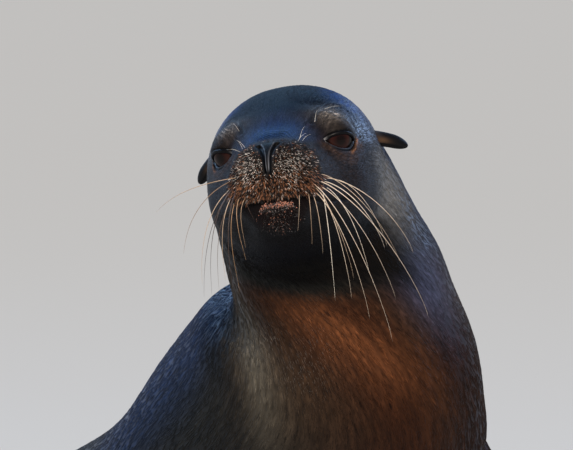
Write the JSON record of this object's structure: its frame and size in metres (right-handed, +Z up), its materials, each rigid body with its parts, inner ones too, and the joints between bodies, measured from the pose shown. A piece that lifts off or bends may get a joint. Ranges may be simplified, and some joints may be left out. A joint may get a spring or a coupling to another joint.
{
  "type": "sea lion",
  "caption": "Life-size still model of a young adult female sea lion, sitting up on its fore flippers with its head turned to its right.",
  "frame": {"origin": "middle of the bounding box's footprint, at floor level", "axes": "+Z up, -Y the way the chest faces, +X towards the animal's left"},
  "size_m": [0.7976, 0.9858, 0.6763],
  "materials": {
    "coat": "wet short fur, dark brown above and warmer brown below",
    "flipper": "bare black-brown flipper skin, damp",
    "nose": "bare pebbled nose pad, wet",
    "eye": "very dark red-brown, wet and clear",
    "claw": "dark horn, smooth"
  },
  "bodies": {
    "root": {"head": "coat", "lower_jaw": "coat", "nose": "nose", "neck": "coat", "chest": "coat", "trunk": "coat", "pelvis": "coat", "tail": "coat", "eye_left": "eye", "ear_left": "coat", "fore_flipper_left": "flipper", "claw_left_2": "claw", "claw_left_3": "claw", "claw_left_4": "claw", "hind_flipper_left": "flipper", "eye_right": "eye", "ear_right": "coat", "fore_flipper_right": "flipper", "claw_right_2": "claw", "claw_right_3": "claw", "claw_right_4": "claw", "hind_flipper_right": "flipper"}
  },
  "joints": []
}
